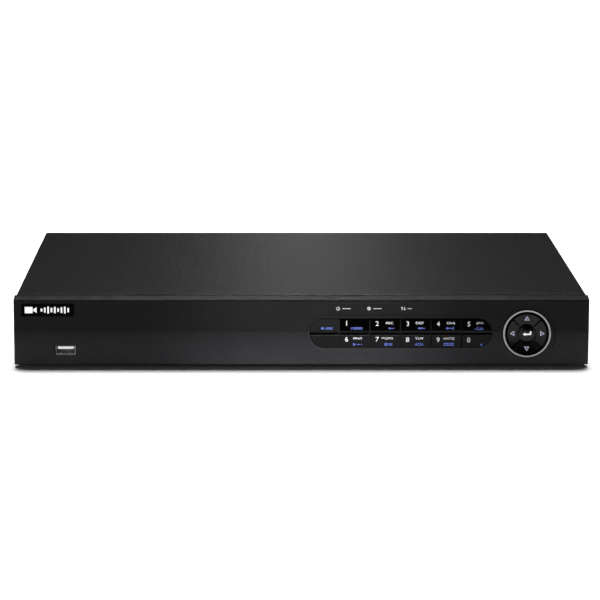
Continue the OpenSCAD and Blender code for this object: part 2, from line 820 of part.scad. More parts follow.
module bnc_shells() {
    color("silver")
    for (i = [0:3], k = [0, 1]) {
        x = bnc_x0 + bnc_pitch * i;
        low = k == 0 ? pcb_z + board_t : 26.9;
        difference() {
            union() {
                socket_body(x, bnc_pitch - 0.6, panel_y - 19, [low, low + (k == 0 ? 15 : 14.8)]);
                rod_y(bnc_r, panel_y - 1, rear_y + socket_reach, x, bnc_z[k]);
                rod_x(0.95, x - bnc_r - 1, x + bnc_r + 1, rear_y + 7.5, bnc_z[k]);
            }
            rod_y(bnc_r - 0.7, rear_y + 1, rear_y + socket_reach + 1, x, bnc_z[k]);
        }
    }
}

module bnc_inserts() {
    color("white")
    for (i = [0:3], z = bnc_z) difference() {
        union() {
            rod_y(bnc_r - 0.75, rear_y + 1.05, rear_y + 3, bnc_x0 + bnc_pitch * i, z);
            rod_y(2.4, rear_y + 1.05, rear_y + 9.5, bnc_x0 + bnc_pitch * i, z);
        }
        rod_y(0.7, rear_y + 4, rear_y + 10, bnc_x0 + bnc_pitch * i, z);
    }
}

module rca_sockets() {
    color([0.1, 0.1, 0.1])
    for (x = rca_x, k = [0, 1]) difference() {
        union() {
            socket_body(x, 12, panel_y - 16, [k == 0 ? pcb_z + board_t : 26.9, k == 0 ? 26.8 : 41]);
            rod_y(rca_r, panel_y - 1, rear_y + 9, x, bnc_z[k]);
        }
        rod_y(rca_r - 0.5, rear_y + 7.6, rear_y + 10, x, bnc_z[k]);
        rod_y(1.6, rear_y, rear_y + 10, x, bnc_z[k]);
    }
}

// D-shaped outline
module d_outline(w, h) {
    polygon([[-w / 2 + 1.6, -h / 2], [w / 2 - 1.6, -h / 2], [w / 2, h / 2 - 1],
             [w / 2 - 1, h / 2], [-w / 2 + 1, h / 2], [-w / 2, h / 2 - 1]]);
}

module vga_socket() {
    color("royalblue") translate([vga_x, 0, vga_z]) {
        block([-15.4, panel_y - 12, pcb_z + board_t - vga_z], [15.4, panel_y - 1.2, 6]);
        block([-15.4, panel_y - 1.3, -6.2], [15.4, panel_y - 0.4, 6.2]);
        difference() {
            along_y(panel_y - 1, rear_y + 5.5) d_outline(16.8, 8.4);
            for (row = [-1, 0, 1], i = [-2:2])
                rod_y(0.45, rear_y + 2, rear_y + 6, i * 2.3 + row * 0.5, row * 2);
        }
        for (side = [-1, 1]) {
            rod_y(1.5, panel_y - 1, rear_y + 0.1, 12.5 * side, 0);
            difference() {
                along_y(rear_y, rear_y + 4.6) translate([12.5 * side, 0]) circle(2.8, $fn = 6);
                rod_y(1.4, rear_y + 1, rear_y + 5, 12.5 * side, 0);
            }
        }
    }
}

module hdmi_outline(grow) {
    translate([hdmi_x, hdmi_z]) polygon([
        [-5.2 - grow, -2.3 - grow], [5.2 + grow, -2.3 - grow], [7 + grow, -0.6],
        [7 + grow, 2.3 + grow], [-7 - grow, 2.3 + grow], [-7 - grow, -0.6]]);
}

module hdmi_socket() {
    color("silver") {
        difference() {
            along_y(rear_y - 11, rear_y + 0.8) hdmi_outline(0.4);
            along_y(rear_y - 9.5, rear_y + 2) hdmi_outline(0);
        }
        block([hdmi_x - 5, rear_y - 9.6, hdmi_z], [hdmi_x + 5, rear_y - 1, hdmi_z + 1]);
    }
}

module lan_socket() {
    low = pcb_z + board_t;
    color("silver") {
        difference() {
            block([lan_x - 8, rear_y - 21, low], [lan_x + 8, rear_y + 1, low + 13.4]);
            block([lan_x - 5.9, rear_y - 13, low + 3.6], [lan_x + 5.9, rear_y + 2, low + 12.2]);
            block([lan_x - 3, rear_y - 13, low + 1.2], [lan_x + 3, rear_y + 2, low + 4]);
        }
        for (i = [0:7]) {
            pin_x = lan_x - 4.2 + 1.1 * i;
            block([pin_x, rear_y - 13.1, low + 11.6], [pin_x + 0.5, rear_y - 3, low + 12.3]);
        }
    }
}

module terminal_block() {
    low = pcb_z + board_t;
    poles = 4;
    pitch = (terminal_x[1] - terminal_x[0]) / poles;
    color("seagreen") difference() {
        block([terminal_x[0], rear_y - 16, low], [terminal_x[1], rear_y + 2, low + 10]);
        for (i = [0:poles - 1]) {
            x = terminal_x[0] + pitch * (i + 0.5);
            block([x - 1.4, rear_y - 6, low + 1.2], [x + 1.4, rear_y + 3, low + 4.2]);
            block([x - 1.6, rear_y - 6, low + 5.6], [x + 1.6, rear_y + 3, low + 8.8]);
        }
    }
}

module earth_terminal() {
    color("goldenrod") translate([earth_x, 0, earth_z]) {
        rod_y(1.95, panel_y - 4, rear_y + 9, 0, 0);
        along_y(rear_y, rear_y + 3) circle(3.9, $fn = 6);
        along_y(panel_y - 3.2, panel_y) circle(3.9, $fn = 6);
    }
}

// ---- power ----

module supply_board() {
    low = pcb_z + board_t;
    color("peru") {
        pcb(supply_x, supply_y, supply_posts);
        block([148, 60, low], [150, 100, low + 22]);
        block([116, 34, low], [118, 56, low + 16]);
    }
    color("white") block([108, 64, low], [116, 78, low + 7]);
}

module supply_transformer() {
    low = pcb_z + board_t;
    color("khaki") {
        block([124, 42, low], [146, 68, low + 4]);
        block([126, 44, low + 4], [144, 66, low + 16]);
        block([124, 42, low + 16], [146, 68, low + 20]);
    }
}

module mains_inlet() {
    color([0.08, 0.08, 0.08]) translate([inlet_x, 0, inlet_z]) {
        difference() {
            union() {
                along_y(rear_y, rear_y + 2) soft_rect(-15.2, 15.2, -11.5, 11.5, 2.5);
                along_y(rear_y - 19, rear_y + 1) soft_rect(-13.5, 13.5, -9.7, 9.7, 1.8);
            }
            along_y(rear_y - 16, rear_y + 3) polygon([
                [-12, 8.2], [12, 8.2], [12, -3.8], [7.6, -8.2], [-7.6, -8.2], [-12, -3.8]]);
        }
    }
    color("silver") translate([inlet_x, 0, inlet_z])
        for (p = [[-7, -1], [0, 3], [7, -1]])
            block([p[0] - 1, rear_y - 24, p[1] - 2], [p[0] + 1, rear_y - 3, p[1] + 2]);
}

module switch_housing() {
    color([0.06, 0.06, 0.06]) translate([switch_x, 0, switch_z]) {
        difference() {
            union() {
                along_y(rear_y, rear_y + 1.6) soft_rect(-7.6, 7.6, -10.6, 10.6, 0.8);
                block([-6.6, rear_y - 19, -9.6], [6.6, rear_y + 1, 9.6]);
            }
            block([-5.6, rocker_y - 8.6, -8.5], [5.6, rear_y + 2, 8.5]);
            rod_x(1.25, -6.2, 6.2, rocker_y, 0);
        }
        for (z = [-6, 6]) block([-2.4, rear_y - 26, z - 0.4], [2.4, rear_y - 18, z + 0.4]);
    }
}

module power_rocker() {
    color([0.05, 0.05, 0.05])
    translate([switch_x, rocker_y, switch_z]) rotate([-rocker_tilt, 0, 0]) {
        intersection() {
            rod_x(rocker_r, -5.3, 5.3, 0, 0);
            along_x(-6, 6) polygon([[-3, -9], [-3, 9], [6.4, 9], [4.6, 0], [6.4, -9]]);
        }
        rod_x(1.2, -6.1, 6.1, 0, 0);
    }
}

module fan_frame() {
    y0 = panel_y - fan_t;
    half = fan_w / 2;
    color([0.1, 0.1, 0.1]) translate([fan_x, 0, fan_z]) difference() {
        union() {
            along_y(y0, panel_y) difference() {
                soft_rect(-half, half, -half, half, 2);
                circle(18.9);
            }
            along_y(y0, y0 + 1.4) {
                circle(9.5);
                for (a = [0:120:240]) rotate(a) translate([-1.4, 0]) square([2.8, 19.4]);
            }
        }
        for (x = [-16, 16], z = [-16, 16]) rod_y(1.5, y0 - 1, panel_y + 1, x, z);
        rod_y(1.05, y0 - 1, y0 + 3, 0, 0);
    }
}

module fan_rotor() {
    y0 = panel_y - fan_t + 1.8;
    blades = 7;
    color([0.13, 0.13, 0.13]) translate([fan_x, 0, fan_z]) {
        rod_y(9.5, y0, panel_y - 0.8, 0, 0);
        rod_y(1, y0 - 1.7, y0 + 1, 0, 0);
        intersection() {
            rod_y(18.3, y0, panel_y - 0.8, 0, 0);
            for (i = [0:blades - 1]) rotate([0, i * 360 / blades, 0])
                translate([0, (y0 + panel_y) / 2, 13]) rotate([0, 0, 38])
                    cube([13, 1, 12], center = true);
        }
    }
}

module supply_cables() {
    to_board = [[111, 19.6], [105, 19.6], [99, 15], [93, 7], [86, 5], [62, 5], [55, 7],
                [50, 14], [44, 17.5], [38, 17.5]];
    to_inlet = [[100.5, 14], [105, 15], [109, 20.5], [112, 23], [115, 23]];
    color("firebrick") {
        along_y(66, 76) polygon(ribbon(to_board, 1.6));
        block([30, 64.5, pcb_z + board_t], [38.4, 77.5, 18.6]);
        along_x(152, 158) polygon(ribbon(to_inlet, 1.6));
        block([151, 94, pcb_z + board_t], [159, 101, pcb_z + board_t + 5]);
    }
}

// ---- drive ----

module drive_base() {
    color("silver") block([drive_x[0], drive_y[0], drive_z[0]],
                          [drive_x[1], drive_y[1], drive_z[1] - 4]);
}

module drive_lid() {
    low = drive_z[1] - 4;
    mid_x = (drive_x[0] + drive_x[1]) / 2;
    color("lightgray") {
        block([drive_x[0] + 2, drive_y[0] + 2, low], [drive_x[1] - 2, drive_y[1] - 12, low + 2.6]);
        rod_z(44, low + 2.5, low + 4, mid_x, drive_y[0] + 52);
        rod_z(14, low + 2.5, low + 4, drive_x[1] - 24, drive_y[1] - 32);
    }
}

// Z-shaped rails that hold the drive above the tray
module drive_rail() {
    along_y(drive_y[0] + 8, drive_y[1] - 8) polygon([
        [drive_x[1] - 8, 6.8], [drive_x[1] + 0.1, 6.8], [drive_x[1] + 0.1, tray_z],
        [drive_x[1] + 11, tray_z], [drive_x[1] + 11, tray_z + 1.2],
        [drive_x[1] + 1.3, tray_z + 1.2], [drive_x[1] + 1.3, 18], [drive_x[1] + 0.1, 18],
        [drive_x[1] + 0.1, drive_z[0]], [drive_x[1] - 8, drive_z[0]]]);
}

module drive_bracket() {
    mid_x = (drive_x[0] + drive_x[1]) / 2;
    color("silver") {
        drive_rail();
        translate([2 * mid_x, 0, 0]) mirror([1, 0, 0]) drive_rail();
    }
}

module drive_cables() {
    data = [[17, 12], [21, 12], [25, 14.5], [28, 19], [32, 22], [38, 22], [41, 20]];
    power = [[17, 12], [21, 12.5], [24, 16], [26, 22], [32, 26], [40, 26], [44, 23], [45, 21]];
    color("crimson") {
        along_x(-138, -130) polygon(ribbon(data, 1.2));
        block([-140, 15.2, 9.5], [-128, 20, 14.5]);
        block([-140, 38, pcb_z + board_t], [-128, 43, 20.5]);
    }
    color("black") {
        along_x(-118, -106) polygon(ribbon(power, 1.8));
        block([-122, 15.2, 9.5], [-102, 20, 14.5]);
        block([-120, 42, pcb_z + board_t], [-104, 49, 21.5]);
    }
}

base_tray();
rear_panel();
top_cover();
front_bezel();
name_plate();
led_window();
dpad_ring();
ir_window();
rubber_feet();
case_screws();
front_boards();
tact_switches();
status_leds();
ir_receiver();
usb_shells();
usb_tongues();
ribbon_cable();
main_board();
standoffs();
board_screws();
heat_sinks();
board_chips();
capacitors();
coin_cell();
bnc_shells();
bnc_inserts();
rca_sockets();
vga_socket();
hdmi_socket();
lan_socket();
terminal_block();
supply_board();
supply_transformer();
mains_inlet();
switch_housing();
power_rocker();
fan_frame();
fan_rotor();
drive_base();
drive_lid();
drive_bracket();
drive_cables();
supply_cables();
earth_terminal();
key_shift();
key_1();
key_2();
key_3();
key_4();
key_5();
key_6();
key_7();
key_8();
key_9();
key_0();
key_up();
key_down();
key_left();
key_right();
key_enter();
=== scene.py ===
"""Looks of the video recorder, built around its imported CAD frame. Metres, Z up, front faces -Y."""
import json
import math

import bmesh
import bpy
from mathutils import Matrix, Vector
from mathutils.bvhtree import BVHTree


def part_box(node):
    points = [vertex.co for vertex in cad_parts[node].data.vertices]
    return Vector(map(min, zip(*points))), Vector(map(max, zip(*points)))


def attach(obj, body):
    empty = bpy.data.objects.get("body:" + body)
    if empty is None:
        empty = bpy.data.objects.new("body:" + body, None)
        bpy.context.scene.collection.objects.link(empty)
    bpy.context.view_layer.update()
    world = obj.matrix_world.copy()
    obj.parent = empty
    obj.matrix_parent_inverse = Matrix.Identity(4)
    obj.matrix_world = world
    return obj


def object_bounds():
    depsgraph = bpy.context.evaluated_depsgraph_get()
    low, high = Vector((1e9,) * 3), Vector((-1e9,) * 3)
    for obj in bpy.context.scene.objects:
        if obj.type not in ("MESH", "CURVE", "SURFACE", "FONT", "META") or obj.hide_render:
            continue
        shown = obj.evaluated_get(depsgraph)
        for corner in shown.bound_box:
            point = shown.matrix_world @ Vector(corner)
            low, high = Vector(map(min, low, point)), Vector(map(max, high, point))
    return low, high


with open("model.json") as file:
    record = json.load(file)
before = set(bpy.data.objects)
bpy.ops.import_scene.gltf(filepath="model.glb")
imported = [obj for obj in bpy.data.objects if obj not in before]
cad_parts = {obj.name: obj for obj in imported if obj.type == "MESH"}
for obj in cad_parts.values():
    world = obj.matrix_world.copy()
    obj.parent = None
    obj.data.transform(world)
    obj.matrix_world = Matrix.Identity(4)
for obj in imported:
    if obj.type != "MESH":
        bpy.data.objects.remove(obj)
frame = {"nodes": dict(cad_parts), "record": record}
CAD_BOX = [list(corner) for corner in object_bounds()]
MM = 0.001
# Studio in metres: the floor reaches a little past the backdrop
FLOOR_HALF = 9.0
BACKDROP_RADIUS = 8.9
BACKDROP_HEIGHT = 9.0
BACKDROP_SIDES = 48
# Opening of both spots, in degrees: about the width of the case
SPOT_CONE = 5.6
scene = bpy.context.scene


def add_object(name, data):
    """New object in the scene."""
    item = bpy.data.objects.new(name, data)
    scene.collection.objects.link(item)
    return item


def mesh_object(name, corners, faces, material):
    """New mesh object in the scene, from corners in metres."""
    data = bpy.data.meshes.new(name)
    data.from_pydata(corners, [], faces)
    data.materials.append(material)
    return add_object(name, data)


def circle(radius, count):
    """Points (x, z) around the origin."""
    turns = [2 * math.pi * i / count for i in range(count)]
    return [(radius * math.cos(turn), radius * math.sin(turn)) for turn in turns]


# ---------------------------------------------------------------- camera and light

def aim_matrix(place, pitch, yaw, roll):
    """Camera matrix that looks along +Y, pitched down, turned to the right and rolled (radians)."""
    forward = Vector((math.sin(yaw) * math.cos(pitch), math.cos(yaw) * math.cos(pitch),
                      -math.sin(pitch)))
    right = Vector((math.cos(yaw), -math.sin(yaw), 0))
    up = right.cross(forward)
    tilted_right = right * math.cos(roll) + up * math.sin(roll)
    tilted_up = up * math.cos(roll) - right * math.sin(roll)
    turn = Matrix((tilted_right, tilted_up, -forward)).transposed().to_4x4()
    return Matrix.Translation(place) @ turn


def make_camera():
    """Long lens in front of the case and a little above it, fitted to the case's corners."""
    data = bpy.data.cameras.new("camera")
    data.sensor_width = 36
    data.lens = 183.3
    data.clip_end = 60
    camera = add_object("camera", data)
    camera.matrix_world = aim_matrix((-0.0263, -2.1369, 0.3820), pitch=0.16777, yaw=0.01265,
                                     roll=0.00189)
    scene.camera = camera


def hang_lamp(name, data, place, target):
    """Puts a lamp at place, facing target."""
    lamp = add_object(name, data)
    lamp.location = place
    aim = Vector(target) - Vector(place)
    lamp.rotation_euler = aim.to_track_quat("-Z", "Y").to_euler()
    return lamp


def area_light(name, place, target, size, power):
    """Rectangular soft light, size = (width, height) in metres, power in watts."""
    data = bpy.data.lights.new(name, "AREA")
    data.shape = "RECTANGLE"
    data.size, data.size_y = size
    data.energy = power
    return hang_lamp(name, data, place, target)


def spot_light(name, place, target, power, radius):
    """Narrow spot with a soft edge, radius in metres, power in watts."""
    data = bpy.data.lights.new(name, "SPOT")
    data.energy = power
    data.spot_size = math.radians(SPOT_CONE)
    data.spot_blend = 1.0
    data.shadow_soft_size = radius
    return hang_lamp(name, data, place, target)


def make_lights():
    """Studio light. Returns four lists of lamps: for the product, for the product without its
    cover, for the bezel and for the cover."""
    world = bpy.data.worlds.new("studio")
    world.use_nodes = True
    background = world.node_tree.nodes["Background"]
    background.inputs["Color"].default_value = (1, 1, 1, 1)
    background.inputs["Strength"].default_value = 0.015
    scene.world = world
    # Soft light above and behind, which leaves the shadow in front of the case
    area_light("ceiling", (0, 1.66, 4.0), (0, 1.66, 0), (2.6, 2.6), 490)
    # Tall dim strip behind, which draws the streak on the cover
    area_light("back_strip", (0.035, 2.3, 0.85), (0.035, 0, 0.85), (0.16, 1.3), 0.52)
    # Dim card far in front and to the left, for the gap under the case
    area_light("front_card", (-2.5, -4.0, 0.6), (-0.3, 0, 0.3), (4, 1.1), 22)
    product = [
        area_light("front_fill", (0, -2.2, 1.9), (0, 0, 0), (4.5, 0.9), 30),
        area_light("front_low", (0, -2.5, 0.15), (0, 0, 0.02), (4.5, 0.3), 29),
        area_light("left_fill", (-2.6, 0.2, 0.8), (0, 0, 0), (2.5, 0.9), 6),
        area_light("right_fill", (2.6, 0.2, 0.8), (0, 0, 0), (2.5, 0.9), 6),
    ]
    # Spot for the keys and the front, and a strip behind for the bezel's sloping top
    spot = [spot_light("front_spot", (0, -2.2, 0.75), (0.008, -0.15, 0.02), 370, 0.03)]
    bezel = [area_light("high_strip", (0, 2.3, 1.4), (0, 0, 0.1), (0.05, 0.5), 6.8)]
    # Spot below the cover's top, which lights the step at its front edge only
    cover = [spot_light("seam_spot", (0, -2.2, 0.03), (0.008, -0.135, 0.048), 300, 0.015)]
    return product, spot, bezel, cover


def flag(name, lamps, pieces):
    """Keeps lamps on the given pieces only, as black flags do in a studio."""
    group = bpy.data.collections.new(name)
    for piece in pieces:
        group.objects.link(piece)
    for lamp in lamps:
        lamp.light_linking.receiver_collection = group


# ---------------------------------------------------------------- materials

def add_node(tree, kind, **sockets):
    node = tree.nodes.new(kind)
    for name, value in sockets.items():
        node.inputs[name.replace("_", " ")].default_value = value
    return node


def surface(name, color, roughness, metallic=0.0, specular=0.5, tint=0.12, tint_size=30 * MM,
            grain=0.0, grain_size=0.6 * MM, rough_spread=0.06, coat=0.0, streak=(1, 1, 1),
            painted_light_bands=()):
    """Principled material with mottled colour, uneven gloss and a fine bump.

    tint is the share by which the colour wanders, grain the bump's depth as a share of
    grain_size, and streak = (x, y, z) stretches the grain as brushing does. Each
    (height, gain, blend) of the painted light and shade list multiplies the colour by gain
    under that height, and fades over blend on either side of it, brighter or darker by height."""
    material = bpy.data.materials.new(name)
    material.use_nodes = True
    tree = material.node_tree
    shader = tree.nodes["Principled BSDF"]
    shader.inputs["Metallic"].default_value = metallic
    shader.inputs["Specular IOR Level"].default_value = specular
    shader.inputs["Coat Weight"].default_value = coat
    shader.inputs["Coat Roughness"].default_value = 0.08
    place = tree.nodes.new("ShaderNodeTexCoord")
    mottle = add_node(tree, "ShaderNodeTexNoise", Scale=1 / tint_size, Detail=4.0, Roughness=0.6)
    tree.links.new(place.outputs["Object"], mottle.inputs["Vector"])
    ramp = tree.nodes.new("ShaderNodeValToRGB")
    ramp.color_ramp.elements[0].position = 0.3
    ramp.color_ramp.elements[1].position = 0.7
    for element, gain in zip(ramp.color_ramp.elements, (1 - tint, 1 + tint)):
        element.color = (*(min(1.0, c * gain) for c in color), 1)
    tree.links.new(mottle.outputs["Fac"], ramp.inputs["Fac"])
    color_out = ramp.outputs["Color"]
    for height, gain, blend in painted_light_bands:
        axes = tree.nodes.new("ShaderNodeSeparateXYZ")
        tree.links.new(place.outputs["Object"], axes.inputs[0])
        step = add_node(tree, "ShaderNodeMapRange", From_Min=height - blend,
                        From_Max=height + blend, To_Min=gain, To_Max=1.0)
        tree.links.new(axes.outputs["Z"], step.inputs["Value"])
        scaled = tree.nodes.new("ShaderNodeVectorMath")
        scaled.operation = "SCALE"
        tree.links.new(color_out, scaled.inputs[0])
        tree.links.new(step.outputs["Result"], scaled.inputs["Scale"])
        color_out = scaled.outputs["Vector"]
    tree.links.new(color_out, shader.inputs["Base Color"])
    fine = add_node(tree, "ShaderNodeTexNoise", Scale=1 / grain_size, Detail=2.0, Roughness=0.5)
    stretch = tree.nodes.new("ShaderNodeMapping")
    stretch.inputs["Scale"].default_value = streak
    tree.links.new(place.outputs["Object"], stretch.inputs["Vector"])
    tree.links.new(stretch.outputs["Vector"], fine.inputs["Vector"])
    gloss = add_node(tree, "ShaderNodeMapRange", To_Min=roughness - rough_spread,
                     To_Max=roughness + rough_spread)
    tree.links.new(fine.outputs["Fac"], gloss.inputs["Value"])
    tree.links.new(gloss.outputs["Result"], shader.inputs["Roughness"])
    if grain:
        bump = add_node(tree, "ShaderNodeBump", Strength=1.0, Distance=grain * grain_size)
        tree.links.new(fine.outputs["Fac"], bump.inputs["Height"])
        tree.links.new(bump.outputs["Normal"], shader.inputs["Normal"])
    return material


def make_materials():
    """One material for each slot of the record.

    Steps by height in the colour of the bezel and the black keys are painted light and shade,
    which set their brightness in this light. They stand for no paint edge of the real object."""
    sharp = 0.05 * MM
    black = (0.008, 0.008, 0.009)
    return {
        "cover_paint": surface("cover_paint", (0.0020, 0.0020, 0.0023), 0.31, specular=0.12,
                               tint=0.08, grain=0.3, grain_size=1.3 * MM),
        "tray_steel": surface("tray_steel", (0.55, 0.56, 0.57), 0.36, metallic=1.0,
                              tint=0.12, tint_size=9 * MM, grain=0.02, grain_size=1.5 * MM),
        # Painted light and shade: the bezel's front face below 44.8 mm is 5.3 times brighter than
        # its sloping top strip, the lower facet below the crease at 23.9 mm is 1.6 times brighter
        # again, and the face grows up to twice as bright from 23 mm down to 5 mm.
        "bezel_plastic": surface("bezel_plastic", (0.00103, 0.00103, 0.00112), 0.42,
                                 specular=0.024, tint=0.08, grain=0.25, grain_size=1.2 * MM,
                                 painted_light_bands=((44.8 * MM, 5.3, sharp), (23.9 * MM, 1.6, sharp),
                                        (14 * MM, 2.0, 9 * MM))),
        "plate_black": surface("plate_black", (0.0006, 0.0006, 0.0006), 0.16, specular=0.01,
                               tint=0.05, grain=0.01),
        "smoked_window": surface("smoked_window", (0.0040, 0.0040, 0.0044), 0.30, specular=0.05,
                                 tint=0.06, grain=0.01),
        "bright_ring": surface("bright_ring", (0.165, 0.165, 0.171), 0.24, metallic=1.0, tint=0.04,
                               grain=0.02, grain_size=0.2 * MM),
        "key_grey": surface("key_grey", (0.0029, 0.0029, 0.0033), 0.36, specular=0.05, tint=0.06,
                            grain=0.03, grain_size=0.2 * MM),
        # Painted highlight: below 24.7 mm, on the lower chamfer of the upper row of keys, the colour
        # is 170 times brighter.
        "key_black": surface("key_black", (0.0001, 0.0001, 0.0001), 0.16, specular=0.01,
                             tint=0.05, grain=0.006, painted_light_bands=((24.7 * MM, 170, sharp),)),
        "arrow_black": surface("arrow_black", (0.0012, 0.0012, 0.0013), 0.20, specular=0.16,
                               tint=0.06, grain=0.01),
        "foot_rubber": surface("foot_rubber", (0.012, 0.012, 0.012), 0.78, tint=0.15,
                               grain=0.12, grain_size=0.4 * MM),
        "screw_black": surface("screw_black", (0.01, 0.01, 0.011), 0.34, specular=0.3,
                               tint=0.15, tint_size=3 * MM, grain=0.02),
        "screw_steel": surface("screw_steel", (0.60, 0.60, 0.61), 0.26, metallic=1.0, tint=0.1),
        "board_green": surface("board_green", (0.010, 0.075, 0.030), 0.30, tint=0.25,
                               tint_size=4 * MM, grain=0.05, grain_size=1.2 * MM),
        "board_black": surface("board_black", (0.003, 0.003, 0.0032), 0.4, specular=0.1,
                               tint=0.1, grain=0.04),
        "board_tan": surface("board_tan", (0.30, 0.19, 0.09), 0.55, tint=0.15, grain=0.05),
        "part_black": surface("part_black", black, 0.45, tint=0.1, grain=0.04),
        "led_clear": surface("led_clear", (0.55, 0.57, 0.55), 0.12, tint=0.03, coat=0.4),
        "socket_steel": surface("socket_steel", (0.62, 0.62, 0.63), 0.27, metallic=1.0,
                                tint=0.06, grain=0.04, grain_size=0.5 * MM, streak=(1, 0.1, 1)),
        "usb_steel": surface("usb_steel", (0.10, 0.10, 0.103), 0.33, metallic=1.0, tint=0.06,
                             grain=0.04, grain_size=0.5 * MM, streak=(1, 0.1, 1)),
        "socket_nickel": surface("socket_nickel", (0.62, 0.60, 0.57), 0.22, metallic=1.0,
                                 tint=0.06, tint_size=6 * MM, grain=0.02),
        "socket_black": surface("socket_black", black, 0.42, tint=0.1, grain=0.05),
        "socket_blue": surface("socket_blue", (0.012, 0.045, 0.30), 0.42, tint=0.08, grain=0.04),
        "terminal_green": surface("terminal_green", (0.02, 0.22, 0.07), 0.42, tint=0.08,
                                  grain=0.04),
        "white_plastic": surface("white_plastic", (0.78, 0.78, 0.76), 0.4, tint=0.03, grain=0.02),
        "ribbon_grey": surface("ribbon_grey", (0.30, 0.30, 0.31), 0.5, tint=0.12, grain=0.2,
                               grain_size=1.27 * MM, streak=(1, 0.05, 0.05)),
        "brass_parts": surface("brass_parts", (0.62, 0.44, 0.18), 0.3, metallic=1.0, tint=0.1,
                               grain=0.03),
        "heat_sink_alloy": surface("heat_sink_alloy", (0.03, 0.03, 0.033), 0.4, metallic=0.8,
                                   tint=0.1, grain=0.05, grain_size=0.4 * MM, streak=(1, 0.1, 1)),
        "can_alloy": surface("can_alloy", (0.03, 0.03, 0.07), 0.3, tint=0.1, grain=0.02),
        "tape_yellow": surface("tape_yellow", (0.55, 0.40, 0.05), 0.35, tint=0.08, grain=0.05),
        "inlet_black": surface("inlet_black", black, 0.4, tint=0.1, grain=0.05),
        "rocker_black": surface("rocker_black", (0.006, 0.006, 0.006), 0.2, tint=0.08,
                                grain=0.01),
        "fan_black": surface("fan_black", (0.01, 0.01, 0.01), 0.42, tint=0.1, grain=0.04),
        "drive_alloy": surface("drive_alloy", (0.45, 0.45, 0.46), 0.5, metallic=1.0, tint=0.1,
                               grain=0.1, grain_size=0.8 * MM),
        "drive_steel": surface("drive_steel", (0.65, 0.65, 0.66), 0.3, metallic=1.0, tint=0.05,
                               grain=0.04, grain_size=0.5 * MM, streak=(0.1, 1, 1)),
        "cable_red": surface("cable_red", (0.35, 0.015, 0.012), 0.42, tint=0.1, grain=0.03),
    }


def legend_material(name, color):
    """Printed ink: slightly uneven and matt."""
    return surface(name, color, 0.5, specular=0.3, tint=0.04, tint_size=1.2 * MM, grain=0.02,
                   grain_size=0.1 * MM)


# ---------------------------------------------------------------- CAD nodes

def soften(node, width, segments):
    """Rounds the edges of a CAD node by modifiers, so that they catch light (width in metres)."""
    piece = frame["nodes"][node]
    weld = piece.modifiers.new("weld", "WELD")
    weld.merge_threshold = 0.002 * MM
    if node not in KEEP_FACETS:
        flat = piece.modifiers.new("flat", "DECIMATE")
        flat.decimate_type = "DISSOLVE"
        flat.angle_limit = math.radians(0.05)
    bevel = piece.modifiers.new("bevel", "BEVEL")
    bevel.width = width
    bevel.segments = segments
    bevel.limit_method = "ANGLE"
    bevel.angle_limit = math.radians(SHARP_ANGLE)
    bevel.miter_outer = "MITER_ARC"
    for polygon in piece.data.polygons:
        polygon.use_smooth = True
    normals = piece.modifiers.new("normals", "WEIGHTED_NORMAL")
    normals.weight = 80


# Edges that bend by more than this are rounded, in degrees
SHARP_ANGLE = 28
# Width of the rounding on each node, in millimetres
EDGE = {
    "top_cover": 0.25, "front_bezel": 0.2, "rear_panel": 0.15, "base_tray": 0.2,
    "name_plate": 0.12, "led_window": 0.12, "dpad_ring": 0.4, "ir_window": 0.3,
    "rubber_feet": 0.35, "case_screws": 0.15, "usb_shells": 0.08, "usb_tongues": 0.12,
    "bnc_shells": 0.2, "bnc_inserts": 0.15, "rca_sockets": 0.2, "vga_socket": 0.2,
    "hdmi_socket": 0.1, "lan_socket": 0.15, "terminal_block": 0.2, "mains_inlet": 0.3,
    "switch_housing": 0.25, "power_rocker": 0.35, "fan_frame": 0.2, "fan_rotor": 0.2,
    "earth_terminal": 0.2, "drive_base": 0.5, "drive_lid": 0.3,
}
KEY_EDGE = 0.15
# Glossy black keys, which mirror the room and take no fill light
ARROW_KEYS = {"key_up", "key_down", "key_left", "key_right", "key_enter"}
GLOSSY_KEYS = ARROW_KEYS | {"key_1", "key_2", "key_3", "key_4", "key_5"}
# Nodes whose facets stay as they are: curved faces and walls with many slots
KEEP_FACETS = ARROW_KEYS | {"top_cover", "base_tray", "rear_panel"}


def dress_cad_nodes(materials):
    """Gives every CAD node its slot's material, and rounds the edges of those that show."""
    slots = {part["node"]: part["material_slot"] for part in frame["record"]["subparts"]}
    for node, piece in frame["nodes"].items():
        piece.data.materials.clear()
        piece.data.materials.append(materials[slots[node]])
        width = KEY_EDGE if node.startswith("key_") else EDGE.get(node)
        if width:
            soften(node, width * MM, segments=3 if node == "dpad_ring" else 2)


# ---------------------------------------------------------------- printed signs

# Ink stands proud of the face by one and reaches into it by the other
INK_THICK = 0.05 * MM
INK_SUNK = 0.02 * MM
# How far the letters' outlines are pushed out to make them bold
BOLD = 0.01
# Steps of a full ring
ARC_STEPS = 28


